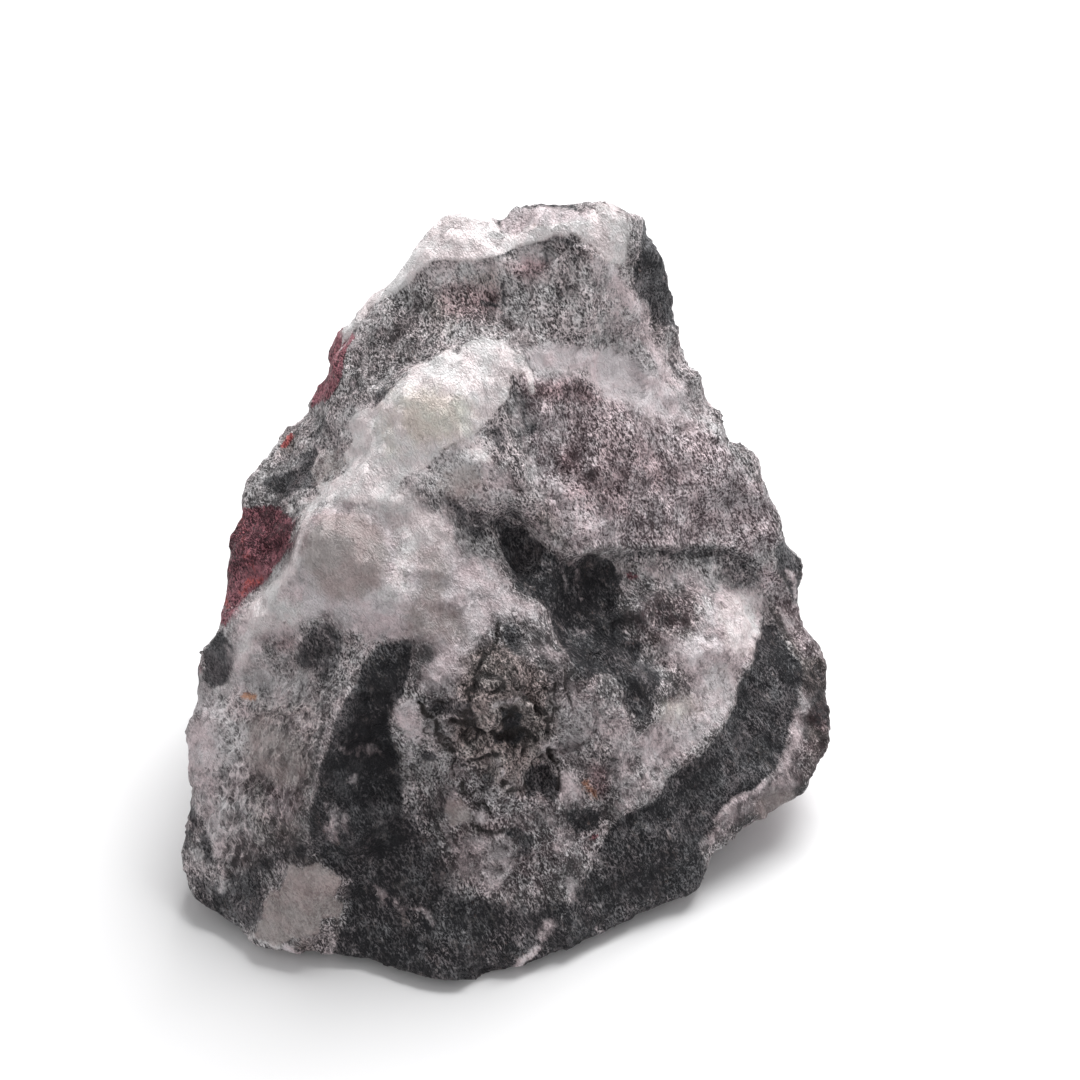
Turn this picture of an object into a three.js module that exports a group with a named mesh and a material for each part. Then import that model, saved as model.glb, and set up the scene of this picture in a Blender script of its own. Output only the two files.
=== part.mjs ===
// A chunk of cinnabar in quartz, broken from its vein: one solid, about 51 mm wide, 50 deep and 43 high.
//
// The stone's form is set out on a drawing: the stone as it looks from DRAWING_TILT above the ground, to an
// eye EYE_DISTANCE away. Each seen corner is [across, up, height] in mm, the first two on the drawing and the
// third above the ground. Corners round the back and underneath are plain [x, y, z] in mm.
// The corners are joined by flat facets, the facets are worn round, and the breaks' relief is laid on them.
import * as THREE from "three";
import { ConvexHull } from "three/addons/math/ConvexHull.js";
import { ImprovedNoise } from "three/addons/math/ImprovedNoise.js";
import { mergeVertices } from "three/addons/utils/BufferGeometryUtils.js";

const DRAWING_TILT = THREE.MathUtils.degToRad(42);
const EYE_DISTANCE = 180;
const SHEET_CENTRE = new THREE.Vector3(0, 0, 22);

// The middle of the footprint on the drawing's ground: the stone's own origin.
const FOOTPRINT_MIDDLE = new THREE.Vector3(-2, -0.5, 0);

// Every facet faces away from this point inside the stone.
const CORE = new THREE.Vector3(0, 4, 14);

// The surface's grid: 20 * (GRID_DETAIL + 1)^2 triangles.
const GRID_DETAIL = 19;

// Rounds that spread the grid evenly over the facets.
const SPREAD_ROUNDS = 25;

// Wear: rounds of smoothing, each a pull to the neighbours' middle and a push back that keeps the size.
const WEAR_ROUNDS = 2;
const WEAR_PULL = 0.55;
const WEAR_PUSH = -0.56;

// Vertices of the grid closer than this are one.
const WELD = 1e-5;

// Lumps of quartz and hollows in softer rock, on the drawing: [across, up, radius, height] in mm.
const LUMPS = [
  [-8, 10.5, 3.5, 1.2], [-15, -1.5, 4, 1.1], [-8.5, 3.5, 3, 0.7], [13.5, -8, 3, 0.8],
  [-3.5, -13, 3.5, 0.9], [-1, -21.5, 3.5, 0.9], [-19.5, -28, 3, 0.8], [4.5, 19, 3, 0.6],
];
const HOLLOWS = [
  [-1, -1, 2.5, -0.8], [3, -6, 3, -1], [6.5, -9.5, 2.5, -0.7], [-11, -16, 4, -1.1], [-9.5, -23, 4, -0.8],
  [-3, 19, 2, -0.6], [17, -13, 3, -0.7], [-19, 10.5, 2.5, -0.7],
];

// A lump stands full height where the surface faces the eye by more than this cosine.
const FULLY_FACING = 0.4;

// Relief: [width, depth] in mm of the slow swells, and of the tilted chips that a break leaves.
const SWELLS = [[11, 0.7], [5, 0.4]];
const CHIPS = [[7, 0.4], [3.5, 0.25]];
// The relief fades in between these heights, so that the underside rests flat.
const RELIEF_FROM = 0;
const RELIEF_TO = 3;

const SEEN_CORNERS = {
  cap: [[-3, 25, 41.3], [-1.5, 26, 42.6], [2.5, 25.5, 43.2], [5.5, 26, 42.8], [8, 24.5, 41.2]],
  rightLump: [[10.5, 22.5, 38.6], [11, 20, 36.2], [9, 16.5, 33.4]],
  rightRim: [
    [9.5, 15, 31.6], [12, 13, 29.6], [14, 9.5, 27], [16.5, 6.5, 24], [18, 3, 21.1], [19, 0, 18.6],
    [21.5, -2.5, 15.5], [20.5, -5, 13.5], [21, -7, 12], [23, -10, 10], [23, -13, 8.2], [22.5, -17, 5.7],
    [20, -20, 4],
  ],
  foot: [
    [16.5, -22, 4], [12.5, -24.5, 3.5], [12.5, -27.5, 1], [6.5, -30.5, -0.5], [-0.5, -34, -0.5],
    [-4.5, -35.5, -0.5], [-11, -35, -0.5], [-15.5, -33, -0.5], [-22, -31.5, -0.5], [-27, -28.5, 1],
  ],
  leftRim: [
    [-28, -24.5, 4.5], [-27, -21.5, 7], [-28, -16, 11.5], [-26.5, -9.5, 16], [-25, -4.5, 19.5],
    [-24, -0.5, 22], [-24, 3, 24], [-21.5, 7, 25.4], [-18, 10, 28], [-16.5, 15, 31.4],
  ],
  whiteShoulder: [
    [-14, 17, 33.2], [-12, 19, 35.4], [-9, 22, 38.1], [-8, 24.5, 40.2], [-6.5, 25.5, 41.5], [-4, 24, 40.6],
  ],
  upperRidge: [
    [-11, 19.5, 37.2], [-8.5, 21, 39], [-4.5, 21.5, 39.7], [1.5, 23, 41.2], [4.5, 21.5, 39.9],
    [7.5, 21.5, 39],
  ],
  upperFacet: [[-3, 19.5, 38.6], [-14.5, 14, 33.6], [4, 18.5, 37.9], [8, 18.5, 36.3]],
  upperCrease: [[-12.5, 10.5, 32.8], [-8.5, 13.5, 34.4], [-4, 15.5, 36], [2, 16, 36.1], [7.5, 16, 34.4]],
  vein: [[-6.5, 12.5, 34.8], [-11, 7.5, 31.7], [-15, 1.5, 28], [-19.5, -4, 23], [-22.5, -7.5, 19]],
  rightFacet: [
    [-2, 12.5, 34.4], [6, 13, 32], [-1, 3, 27.7], [2, -1.5, 23.7], [8.5, 5.5, 26.5], [11.5, -1.5, 19.5],
  ],
  hollow: [[-3, 1, 26], [1.5, -5.5, 21.6], [7, -10, 17.8]],
  middle: [[-7.5, 4.5, 29.5], [-7.5, -1.5, 25.3], [-10, -7.5, 22], [-1.5, -9.5, 20.2], [-4.5, -15.5, 15.7]],
  leftFace: [[-17.5, 4.5, 26.5], [-20, -1.5, 22.7], [-18.5, -7.5, 19.5], [-22.5, -14, 14], [-23, -21.5, 7.5]],
  nose: [[-15, -12.5, 19.4], [-17, -18.5, 14.6], [-18, -24.5, 8.8]],
  apron: [
    [-7.5, -12.5, 18.3], [-9.5, -20, 11], [-3, -24, 7.8], [1.5, -18.5, 11.7], [4.5, -14, 14.8],
    [7.5, -20, 8.6], [6, -25.5, 4.2], [-11, -28, 4.5],
  ],
  whitePatch: [[7.5, -3, 20], [12.5, -4.5, 17.6], [17, -4.5, 15], [12.5, -12.5, 12.6], [8.5, -16, 11]],
  darkBand: [[18, -7.5, 12.7], [20, -11.5, 9.5], [15.5, -17, 8.3], [12.5, -21, 5.8]],
};

// Corners that the drawing doesn't show: [x, y, z] in mm.
const HIDDEN_CORNERS = {
  crown: [
    [-9, 15, 36.5], [-2, 17, 38.5], [4, 16.5, 39], [8.5, 15, 36.5], [9, 15, 32.5], [-16, 11, 30.5],
    [-22, 5, 22],
  ],
  shelf: [[-14, 17.5, 27], [-6, 19.5, 30], [2, 20.5, 29], [-13, 19.5, 25], [-5, 22.5, 27.5], [3, 23, 26]],
  back: [
    [10, 18, 27], [12, 12, 25], [16, 15, 18], [18, 8, 18.5], [-21, 11, 17], [-9, 21, 17], [0, 21.5, 15],
    [6, 23, 17], [12, 20, 12],
  ],
  flank: [
    [-25, 0, 12], [-26, -8, 7], [-24, 7, 11], [20.5, 4, 11], [21.5, 0, 5.5], [-18, 14, 11], [-7, 22.5, 8],
    [5, 24, 9],
  ],
  heel: [
    [-25.5, -16, 1], [-24.5, -12, -0.5], [-23.5, 0, -0.5], [-21.5, 7, 1], [-16, 14, -0.5],
    [-7, 20.5, -0.5], [-1, 21, 1], [6, 22, -0.5], [14, 17, -0.5], [19, 9, -0.5], [18.5, 0, 1.5],
    [17, -6, 2], [13, -11, -0.5],
  ],
  underside: [
    [-12, -12, -0.5], [6, -12, -0.5], [0, 4, -0.5], [-12, 5, -0.5], [10, 8, -0.5], [-18, -18, -0.5],
    [0, -20, -0.5],
  ],
};

const noise = new ImprovedNoise();

// The drawing's sheet stands across the line from its centre to the eye.
const toEye = new THREE.Vector3(0, -Math.cos(DRAWING_TILT), Math.sin(DRAWING_TILT));
const sheetUp = new THREE.Vector3(0, Math.sin(DRAWING_TILT), Math.cos(DRAWING_TILT));
const eye = SHEET_CENTRE.clone().addScaledVector(toEye, EYE_DISTANCE);

function fromDrawing([across, up, height]) {
  const sight = SHEET_CENTRE.clone().addScaledVector(sheetUp, up).sub(eye);
  sight.x += across;
  return eye.clone().addScaledVector(sight, (height - eye.z) / sight.z);
}

function toDrawing(point) {
  const sight = point.clone().sub(eye);
  const scale = EYE_DISTANCE / -sight.dot(toEye);
  return [sight.x * scale, sight.dot(sheetUp) * scale];
}

// The facets between the corners: the hull of the corners' directions from the core says which three meet.
function facetsBetween(points) {
  const directions = points.map((p) => p.clone().sub(CORE).normalize());
  const pointOf = new Map(directions.map((d, i) => [d, points[i]]));
  const hull = new ConvexHull().setFromPoints(directions);
  return hull.faces.map((face) => {
    const edges = [face.edge, face.edge.next, face.edge.next.next];
    const ring = edges.map((edge) => pointOf.get(edge.head().point));
    return new THREE.Triangle(...ring);
  });
}

// Where a ray from the core leaves the facets.
function reach(direction, facets) {
  const ray = new THREE.Ray(CORE, direction);
  const hit = new THREE.Vector3();
  let farthest = null;
  for (const { a, b, c } of facets) {
    if (ray.intersectTriangle(a, b, c, false, hit)) farthest = hit.clone();
  }
  return farthest;
}

// Each vertex's neighbours, from the triangles.
function neighboursIn(geometry) {
  const index = geometry.getIndex();
  const neighbours = Array.from({ length: geometry.getAttribute("position").count }, () => new Set());
  for (let i = 0; i < index.count; i += 3) {
    const ring = [index.getX(i), index.getX(i + 1), index.getX(i + 2)];
    ring.forEach((vertex, k) => neighbours[vertex].add(ring[(k + 1) % 3]).add(ring[(k + 2) % 3]));
  }
  return neighbours;
}

// The middle of each vertex's neighbours.
function middlesOf(points, neighbours) {
  return neighbours.map((near) => {
    const sum = new THREE.Vector3();
    for (const vertex of near) sum.add(points[vertex]);
    return sum.divideScalar(near.size);
  });
}

function wear(points, neighbours) {
  for (let round = 0; round < WEAR_ROUNDS; round++) {
    for (const share of [WEAR_PULL, WEAR_PUSH]) {
      const middles = middlesOf(points, neighbours);
      points.forEach((point, i) => point.lerp(middles[i], share));
    }
  }
}

// A scattered point of the unit cube, always the same for a cell of space and a first draw.
function scatter(cell, firstDraw) {
  const draws = [0, 1, 2].map((axis) => {
    const wave = Math.sin(cell.x * 127.1 + cell.y * 311.7 + cell.z * 74.7 + (firstDraw + axis) * 53.3);
    return THREE.MathUtils.euclideanModulo(wave * 43758.5453, 1);
  });
  return new THREE.Vector3(...draws);
}

// Broken ground: the cell nearest to the point tilts it by a plane of its own, from -1 to 1.
function chip(point, width) {
  const at = point.clone().divideScalar(width);
  const base = at.clone().floor();
  let nearest = Infinity;
  let tilt = 0;
  for (let i = base.x - 1; i <= base.x + 1; i++) {
    for (let j = base.y - 1; j <= base.y + 1; j++) {
      for (let k = base.z - 1; k <= base.z + 1; k++) {
        const cell = new THREE.Vector3(i, j, k);
        const away = at.clone().sub(cell).sub(scatter(cell, 1));
        if (away.lengthSq() >= nearest) continue;
        nearest = away.lengthSq();
        tilt = 2 * away.dot(scatter(cell, 4).subScalar(0.5).normalize());
      }
    }
  }
  return THREE.MathUtils.clamp(tilt, -1, 1);
}

// How far the lumps and hollows move a point, where it faces the eye.
function swelling(point, normal) {
  const facing = THREE.MathUtils.smoothstep(normal.dot(toEye), 0, FULLY_FACING);
  const [across, up] = toDrawing(point);
  let height = 0;
  for (const [x, y, radius, rise] of [...LUMPS, ...HOLLOWS]) {
    height += rise * Math.exp(-((across - x) ** 2 + (up - y) ** 2) / radius ** 2);
  }
  return height * facing;
}

function relief(point) {
  let height = 0;
  for (const [width, depth] of SWELLS) {
    height += depth * noise.noise(point.x / width, point.y / width, point.z / width);
  }
  for (const [width, depth] of CHIPS) height += depth * chip(point, width);
  return height * THREE.MathUtils.smoothstep(point.z, RELIEF_FROM, RELIEF_TO);
}

function buildStone() {
  const corners = [
    ...Object.values(SEEN_CORNERS).flat().map(fromDrawing),
    ...Object.values(HIDDEN_CORNERS).flat().map((xyz) => new THREE.Vector3(...xyz)),
  ];
  const facets = facetsBetween(corners);
  const grid = new THREE.IcosahedronGeometry(1, GRID_DETAIL);
  grid.deleteAttribute("normal");
  grid.deleteAttribute("uv");
  const geometry = mergeVertices(grid, WELD);
  const position = geometry.getAttribute("position");
  const neighbours = neighboursIn(geometry);
  let points = [];
  for (let i = 0; i < position.count; i++) {
    points.push(reach(new THREE.Vector3().fromBufferAttribute(position, i), facets));
  }
  for (let round = 0; round < SPREAD_ROUNDS; round++) {
    points = middlesOf(points, neighbours).map((middle) => reach(middle.sub(CORE).normalize(), facets));
  }
  wear(points, neighbours);
  position.array.set(points.flatMap((point) => point.toArray()));
  geometry.computeVertexNormals();
  const normal = new THREE.Vector3();
  points.forEach((point, i) => {
    normal.fromBufferAttribute(geometry.getAttribute("normal"), i);
    point.addScaledVector(normal, swelling(point, normal) + relief(point));
    position.setXYZ(i, point.x, point.y, Math.max(point.z, 0));
  });
  geometry.deleteAttribute("normal");
  geometry.translate(-FOOTPRINT_MIDDLE.x, -FOOTPRINT_MIDDLE.y, 0);
  return geometry;
}

const stone = new THREE.Mesh(
  buildStone(),
  new THREE.MeshStandardMaterial({ color: 0x6b6668, roughness: 0.75, metalness: 0, flatShading: true }),
);
stone.name = "cinnabar_quartz_stone";

const part = new THREE.Group();
part.add(stone);
export default part;
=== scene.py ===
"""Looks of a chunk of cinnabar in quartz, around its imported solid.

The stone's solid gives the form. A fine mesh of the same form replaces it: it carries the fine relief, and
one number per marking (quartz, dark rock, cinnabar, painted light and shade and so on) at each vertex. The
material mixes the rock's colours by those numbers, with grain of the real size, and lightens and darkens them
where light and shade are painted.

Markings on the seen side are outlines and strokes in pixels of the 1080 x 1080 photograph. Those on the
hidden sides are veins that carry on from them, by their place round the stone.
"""

import math

import bpy
import numpy as np
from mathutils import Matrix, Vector, noise


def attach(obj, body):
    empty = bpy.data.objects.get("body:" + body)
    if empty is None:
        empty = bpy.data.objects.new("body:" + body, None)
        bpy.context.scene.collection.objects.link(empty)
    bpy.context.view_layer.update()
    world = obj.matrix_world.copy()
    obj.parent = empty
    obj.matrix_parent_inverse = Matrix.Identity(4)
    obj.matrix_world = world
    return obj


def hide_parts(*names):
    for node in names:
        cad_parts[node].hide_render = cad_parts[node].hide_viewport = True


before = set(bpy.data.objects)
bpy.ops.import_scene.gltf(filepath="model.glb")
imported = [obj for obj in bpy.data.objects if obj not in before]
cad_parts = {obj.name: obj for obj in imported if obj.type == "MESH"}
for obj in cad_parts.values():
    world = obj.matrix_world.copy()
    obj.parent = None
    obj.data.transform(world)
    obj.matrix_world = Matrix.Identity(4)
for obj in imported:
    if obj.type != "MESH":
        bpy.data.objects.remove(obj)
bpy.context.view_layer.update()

MM = 0.001
NODE = "cinnabar_quartz_stone"
# Without a seed, noise vectors would differ from run to run.
SEED = 7

# The photograph's view: mm on a sheet through SHEET_CENTRE, seen from TILT above the ground.
PHOTO_CENTRE_PX = 540
MM_PER_PX = 50 / 648
TILT = math.radians(42)
EYE_DISTANCE = 180
SHEET_CENTRE = Vector((2, 0.5, 22))
TO_EYE = Vector((0, -math.cos(TILT), math.sin(TILT)))
SHEET_UP = Vector((0, math.sin(TILT), math.cos(TILT)))

# The rock's fibres run down to the right in the photograph.
FIBRES = Vector((0.45, 0, 0)) - 0.89 * SHEET_UP

# The fine mesh, in mm.
VOXEL = 0.325
# Each round of smoothing is a pull to the neighbours' middle, or a push back that keeps the size.
SMOOTHING = [0.5, -0.52] * 8

# The foot is about this far from the middle, in mm.
FOOT_RADIUS = 23

# Markings' edges wander by these (size, reach) pairs in mm.
EDGE_MOVES = [(3.0, 0.35), (1.1, 0.22)]

# Broken facets that cover the rock: size and depth in mm.
FACETS = [(5.0, 1.6), (2.4, 0.95), (1.1, 0.42)]


# ---------------------------------------------------------------- camera, floor and light

def add_camera():
    data = bpy.data.cameras.new("camera")
    data.sensor_width = 36
    data.lens = data.sensor_width / 2 * EYE_DISTANCE / (PHOTO_CENTRE_PX * MM_PER_PX)
    data.clip_start = 0.01
    camera = bpy.data.objects.new("camera", data)
    bpy.context.scene.collection.objects.link(camera)
    camera.location = (SHEET_CENTRE + TO_EYE * EYE_DISTANCE) * MM
    camera.rotation_euler = (-TO_EYE).to_track_quat("-Z", "Y").to_euler()
    bpy.context.scene.camera = camera


def add_floor():
    bpy.ops.mesh.primitive_plane_add(size=8)
    floor = bpy.context.object
    floor.name = "floor"
    material = bpy.data.materials.new("floor_white")
    material.use_nodes = True
    shader = material.node_tree.nodes["Principled BSDF"]
    shader.inputs["Base Color"].default_value = (0.9, 0.9, 0.905, 1)
    shader.inputs["Roughness"].default_value = 0.7
    floor.data.materials.append(material)


def add_light(name, place, size, power):
    data = bpy.data.lights.new(name, "AREA")
    data.size = size
    data.energy = power
    light = bpy.data.objects.new(name, data)
    bpy.context.scene.collection.objects.link(light)
    light.location = place
    light.rotation_euler = (Vector((0, 0, 0.02)) - light.location).to_track_quat("-Z", "Y").to_euler()


def add_lights():
    add_light("window", (0.12, 0.27, 0.39), 0.34, 3.3)
    world = bpy.data.worlds.new("white_room")
    bpy.context.scene.world = world
    world.use_nodes = True
    background = world.node_tree.nodes["Background"]
    background.inputs["Color"].default_value = (1, 0.995, 1, 1)
    background.inputs["Strength"].default_value = 0.45
    bpy.context.scene.view_settings.view_transform = "Standard"


# ---------------------------------------------------------------- markings

# On the seen side each outline is (strength, softness in mm, corners in pixels of the photograph).
OUTLINES = {
    "quartz": [
        # the bright shoulder at the top left
        (1.0, 0.2, [(340, 350), (352, 332), (374, 304), (400, 292), (417, 281), (420, 270), (430, 262),
                    (440, 260), (462, 262), (480, 261), (497, 256), (512, 251), (532, 244), (558, 234),
                    (566, 238), (592, 228), (590, 219), (560, 222), (530, 225), (514, 236), (500, 232),
                    (485, 200), (455, 195), (415, 225), (375, 262), (345, 305)]),
        # the pinkish patch right of the peak
        (0.86, 0.4, [(585, 222), (594, 200), (613, 200), (626, 214), (629, 226), (627, 246), (628, 268),
                     (616, 268), (605, 262), (597, 254), (586, 243), (574, 237)]),
        # the vein's upper lobe
        (1.0, 0.2, [(446, 345), (452, 349), (459, 352), (463, 345), (472, 339), (486, 337), (498, 340),
                    (508, 348), (518, 358), (527, 371), (511, 372), (507, 378), (510, 388), (507, 398),
                    (498, 408), (487, 420), (478, 430), (468, 438), (456, 443), (446, 450), (438, 459),
                    (428, 467), (416, 472), (404, 474), (392, 492), (366, 504), (344, 502), (326, 498),
                    (318, 486), (334, 476), (348, 466), (342, 455), (354, 440), (351, 428),
                    (354, 416), (362, 409), (376, 410), (380, 402), (392, 392), (402, 379), (414, 369),
                    (424, 361), (438, 352)]),
        (0.72, 0.5, [(328, 494), (314, 512), (308, 530), (302, 556), (296, 572), (280, 594), (256, 612),
                     (236, 622), (247, 604), (262, 588), (276, 572), (288, 558), (294, 534), (299, 512),
                     (310, 494)]),
        # its milky lower part
        (0.72, 1.4, [(306, 516), (330, 494), (360, 490), (400, 480), (420, 492), (442, 516), (456, 540),
                     (452, 566), (430, 548), (414, 570), (404, 600), (384, 606), (370, 590), (392, 560),
                     (388, 528), (366, 504), (330, 506)]),
        (0.72, 0.8, [(264, 592), (290, 592), (306, 602), (300, 628), (276, 634), (256, 640), (248, 668),
                     (240, 684), (238, 640), (248, 612)]),
        (0.9, 0.25, [(455, 443), (470, 447), (484, 447), (496, 457), (494, 464), (480, 460), (470, 454)]),
        # the strip beside the dark band
        (0.66, 0.8, [(722, 590), (752, 590), (760, 600), (757, 616), (764, 632), (756, 644), (750, 655),
                     (740, 662), (728, 650), (722, 640), (716, 616)]),
        (0.4, 1.0, [(705, 660), (728, 652), (742, 664), (736, 690), (722, 716), (700, 724), (690, 712),
                    (698, 690)]),
    ],
    "honey": [
        (0.85, 1.4, [(396, 396), (430, 386), (462, 392), (474, 408), (468, 434), (446, 444), (414, 444),
                     (398, 424)]),
        (0.7, 0.8, [(452, 420), (470, 416), (474, 430), (462, 440), (450, 438)]),
        (0.5, 1.2, [(380, 408), (398, 408), (400, 460), (384, 462), (376, 432)]),
        (0.4, 1.0, [(660, 702), (690, 696), (700, 712), (676, 722), (660, 718)]),
    ],
    "pale": [
        (0.66, 0.8, [(470, 452), (500, 462), (520, 480), (516, 506), (490, 508), (468, 496), (480, 480)]),
        (0.86, 0.9, [(242, 606), (290, 586), (330, 594), (384, 600), (420, 590), (430, 630), (400, 636),
                     (368, 644), (344, 626), (320, 614), (298, 632), (262, 640), (246, 664), (236, 640)]),
        # the flat cap
        (0.84, 0.3, [(497, 230), (508, 213), (520, 205), (545, 208), (578, 211), (596, 206), (600, 214),
                     (590, 232), (566, 234), (540, 240), (515, 246)]),
        # round the vein's lower part
        (0.85, 1.2, [(240, 606), (290, 588), (306, 560), (304, 528), (330, 500), (420, 496), (450, 524),
                    (466, 552), (496, 566), (522, 596), (542, 608), (536, 622), (512, 618), (488, 624),
                    (470, 650), (450, 692), (424, 690), (418, 670), (436, 650), (410, 634),
                    (380, 634), (362, 646), (344, 632), (330, 616), (304, 618), (296, 636), (270, 640),
                    (246, 660), (240, 690), (232, 660), (238, 622)]),
        # the band across the top of the right facet
        (1.0, 0.9, [(524, 348), (545, 342), (578, 344), (606, 350), (634, 358), (655, 372), (676, 392),
                    (700, 424), (690, 432), (650, 416), (628, 408), (606, 398), (594, 382), (586, 372),
                    (560, 370), (530, 372)]),
        # round the bright strip
        (0.78, 0.6, [(716, 588), (756, 586), (766, 602), (764, 626), (758, 644), (750, 660), (740, 676),
                     (736, 700), (722, 724), (700, 742), (680, 758), (664, 770), (640, 764), (634, 744),
                     (630, 732), (655, 726), (662, 710), (688, 700), (692, 680), (674, 664), (656, 650),
                     (664, 636), (692, 638), (702, 622)]),
        (0.6, 0.6, [(664, 768), (664, 778), (658, 796), (630, 812), (616, 800), (622, 772), (640, 762)]),
        # the right facet's far foot
        (0.6, 0.6, [(640, 562), (656, 560), (676, 564), (698, 568), (714, 580), (712, 600), (698, 606),
                    (690, 592), (664, 584), (642, 578)]),
        # between the hollow and the apron
        (0.56, 0.6, [(568, 682), (598, 680), (600, 698), (626, 702), (630, 728), (618, 746), (590, 740),
                     (572, 764), (560, 730)]),
        (0.6, 0.6, [(606, 704), (622, 702), (632, 720), (640, 742), (632, 764), (640, 800), (622, 812),
                    (612, 790), (614, 760), (606, 736)]),
        (0.6, 0.8, [(540, 740), (570, 738), (580, 760), (556, 764), (540, 756)]),
        (0.72, 0.5, [(560, 770), (574, 774), (582, 790), (580, 806), (566, 806), (556, 796)]),
        (0.5, 0.5, [(536, 640), (550, 638), (562, 652), (560, 664), (546, 662), (534, 652)]),
        (0.90, 0.5, [(397, 704), (408, 697), (420, 706), (424, 726), (420, 740), (402, 738)]),
        (0.70, 0.4, [(404, 746), (412, 746), (414, 760), (406, 762)]),
        (0.62, 0.5, [(457, 838), (476, 832), (504, 834), (517, 852), (514, 878), (494, 890), (466, 884),
                     (456, 868)]),
        (0.66, 0.4, [(448, 802), (462, 798), (472, 810), (470, 824), (452, 828), (446, 814)]),
        (0.95, 0.3, [(474, 812), (484, 808), (490, 816), (487, 826), (476, 824)]),
        (0.5, 0.5, [(541, 808), (556, 814), (577, 836), (574, 858), (555, 846)]),
        (0.6, 0.3, [(567, 878), (578, 876), (579, 900), (566, 902)]),
        (0.6, 0.3, [(540, 922), (554, 920), (556, 936), (542, 944), (534, 938)]),
        # flecks in the dark wedge
        (0.8, 0.3, [(328, 820), (336, 818), (338, 829), (330, 832)]),
        (0.7, 0.3, [(350, 774), (358, 773), (359, 783), (351, 785)]),
        (0.42, 0.4, [(342, 742), (374, 740), (374, 750), (344, 756)]),
        (0.42, 0.5, [(322, 806), (344, 798), (354, 812), (350, 838), (330, 842), (318, 830)]),
        # the left face
        (0.62, 1.2, [(190, 690), (206, 684), (222, 700), (226, 740), (220, 780), (226, 840), (232, 880),
                     (214, 860), (206, 820), (196, 800), (184, 770), (182, 740)]),
        (0.36, 1.5, [(240, 660), (300, 676), (335, 690), (325, 740), (312, 790), (300, 830), (262, 850),
                     (236, 860), (226, 800), (230, 720)]),
        (0.8, 0.6, [(182, 742), (196, 722), (218, 728), (222, 746), (212, 760), (202, 774), (184, 772)]),
        (0.9, 0.4, [(250, 604), (262, 598), (262, 616), (252, 640), (246, 664), (242, 692), (236, 684),
                    (238, 660), (244, 636)]),
        (0.5, 0.4, [(228, 636), (238, 634), (242, 646), (232, 652)]),
        (0.55, 0.5, [(294, 724), (316, 712), (322, 726), (304, 736)]),
        # the right-hand flank of the peak
        (0.5, 1.0, [(648, 335), (662, 340), (690, 380), (716, 430), (700, 440), (676, 400)]),
        # the foot beside the flange, and its flecked edge
        (0.62, 0.3, [(700, 850), (698, 842), (710, 834), (718, 826), (721, 812), (735, 803), (749, 800),
                    (754, 808), (742, 819), (728, 832), (712, 844)]),
        (0.55, 0.5, [(756, 792), (772, 782), (786, 770), (800, 776), (796, 796), (778, 812), (758, 816),
                    (748, 806)]),
        (0.6, 0.4, [(798, 694), (812, 690), (808, 716), (800, 740), (790, 768), (778, 776), (782, 750),
                     (790, 728)]),
        (0.5, 0.6, [(776, 606), (796, 612), (812, 640), (800, 652), (786, 632)]),
    ],
    "clear": [
        (0.9, 1.0, [(306, 534), (326, 512), (358, 508), (380, 524), (388, 556), (380, 584), (360, 600),
                    (332, 602), (312, 584), (304, 560)]),
        (0.75, 0.8, [(444, 474), (460, 462), (478, 464), (488, 484), (470, 500), (448, 500), (438, 490)]),
        (0.7, 1.0, [(416, 548), (440, 540), (450, 566), (446, 600), (470, 612), (466, 640), (430, 642),
                    (404, 634), (400, 606), (416, 590)]),
        (0.6, 0.6, [(312, 468), (318, 452), (338, 450), (346, 464), (330, 476), (318, 482)]),
        (0.75, 0.25, [(448, 802), (462, 798), (472, 810), (470, 824), (452, 828), (446, 814)]),
        # the lump in the lower left corner
        (1.0, 0.15, [(288, 865), (296, 870), (312, 866), (320, 861), (334, 871), (341, 880), (334, 898),
                     (341, 904), (339, 917), (324, 918), (317, 934), (308, 939), (292, 938), (280, 949),
                     (252, 937), (258, 924), (264, 902), (270, 889), (280, 887)]),
        (0.6, 0.6, [(666, 698), (692, 694), (700, 712), (690, 730), (660, 726), (660, 712)]),
        (0.7, 0.8, [(756, 798), (780, 790), (798, 792), (790, 812), (768, 824), (752, 816)]),
        (0.6, 0.8, [(240, 720), (262, 716), (300, 740), (310, 770), (290, 790), (262, 780), (244, 760)]),
    ],
    "pink": [
        # the right facet
        (0.8, 0.8, [(516, 376), (560, 372), (600, 382), (640, 402), (690, 420), (716, 434), (748, 466),
                    (772, 505), (784, 545), (760, 556), (720, 548), (690, 544), (650, 544), (612, 550),
                    (575, 552), (560, 536), (540, 480), (526, 430)]),
        (0.6, 1.0, [(638, 592), (700, 592), (700, 634), (650, 650), (632, 630)]),
        # the flange
        (0.7, 0.5, [(751, 571), (777, 606), (794, 639), (800, 660), (826, 660), (815, 627), (796, 600),
                    (772, 562)]),
        (0.5, 0.5, [(800, 740), (830, 736), (835, 765), (800, 785), (786, 770)]),
        # the apron
        (0.42, 1.5, [(440, 760), (520, 770), (600, 800), (600, 860), (540, 900), (470, 900), (440, 850)]),
        (0.6, 1.0, [(262, 786), (292, 780), (300, 815), (272, 822)]),
        (0.6, 0.8, [(420, 666), (452, 662), (462, 680), (440, 692), (420, 684)]),
    ],
    "maroon": [
        (0.6, 0.6, [(528, 382), (560, 380), (590, 384), (604, 398), (590, 408), (560, 402), (530, 400)]),
        (0.5, 0.8, [(550, 452), (572, 448), (590, 462), (580, 482), (556, 474)]),
        (0.35, 1.0, [(590, 440), (660, 440), (700, 500), (640, 520), (560, 520), (560, 490)]),
        (0.6, 0.8, [(440, 284), (470, 280), (500, 290), (500, 312), (474, 326), (446, 318)]),
        (0.6, 0.6, [(510, 264), (530, 256), (552, 256), (548, 268), (530, 278), (512, 276)]),
        (0.9, 0.4, [(246, 522), (262, 516), (292, 520), (292, 544), (284, 556), (264, 562), (250, 556)]),
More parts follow.
